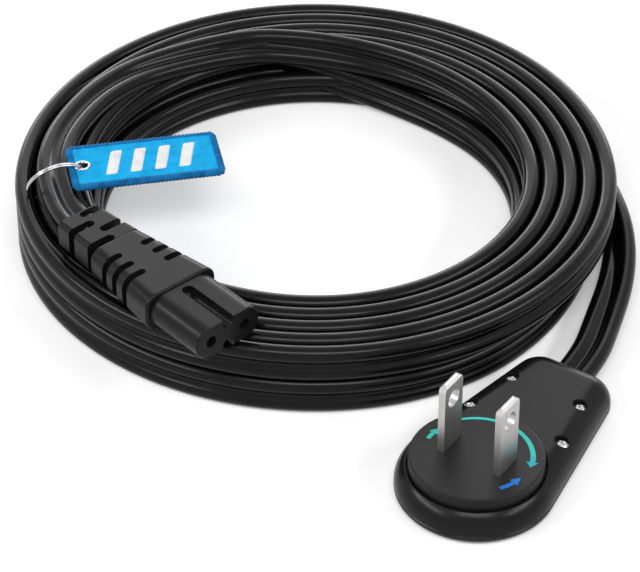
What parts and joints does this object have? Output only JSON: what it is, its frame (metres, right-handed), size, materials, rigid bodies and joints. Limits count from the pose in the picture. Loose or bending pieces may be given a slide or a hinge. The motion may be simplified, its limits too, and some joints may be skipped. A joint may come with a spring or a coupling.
{
  "type": "flat rotating mains plug with cord",
  "caption": "Flat low-profile two-blade mains plug whose round blade carrier turns in the housing, with a coiled flat cord and a figure-eight connector on its far end.",
  "frame": {"origin": "the blade carrier's axis on the flat back face of the plug's housing", "axes": "+Z along the blades, away from the back face; +Y along the housing towards the cord; +X to the right of it"},
  "size_m": [0.1563, 0.1366, 0.0253],
  "materials": {
    "housing_plastic": "satin black moulded",
    "rotor_plastic": "fine matt black moulded",
    "blade_nickel": "nickel plated",
    "contact_brass": "plain brass",
    "screw_steel": "plated",
    "carrier_plastic": "natural",
    "lead_insulation": "soft",
    "cord_jacket": "satin black",
    "connector_plastic": "satin black overmould",
    "tag_fabric": "woven",
    "ring_nickel": "polished"
  },
  "bodies": {
    "housing": {"housing_top": "housing_plastic", "housing_back": "housing_plastic", "housing_screws": "screw_steel", "ring_outer": "contact_brass", "ring_inner": "contact_brass", "contact_carrier": "carrier_plastic", "lead_left": "lead_insulation", "lead_right": "lead_insulation", "cord_clamp": "carrier_plastic", "cord_tail": "cord_jacket", "cord_coil": "cord_jacket", "cord_end": "cord_jacket", "connector_nose": "connector_plastic", "connector_grip": "connector_plastic", "sleeve_left": "contact_brass", "sleeve_right": "contact_brass", "tag": "tag_fabric", "tag_eyelet": "ring_nickel", "split_ring": "ring_nickel"},
    "rotor": {"rotor_disc": "rotor_plastic", "rotor_retainer": "rotor_plastic", "blade_left": "blade_nickel", "blade_right": "blade_nickel", "wiper_outer": "contact_brass", "wiper_inner": "contact_brass"}
  },
  "joints": [
    {"name": "rotor_turn", "type": "hinge", "parent": "housing", "child": "rotor", "pos_m": [0, 0, 0.0077], "axis": [0, 0, 1], "continuous": true}
  ]
}
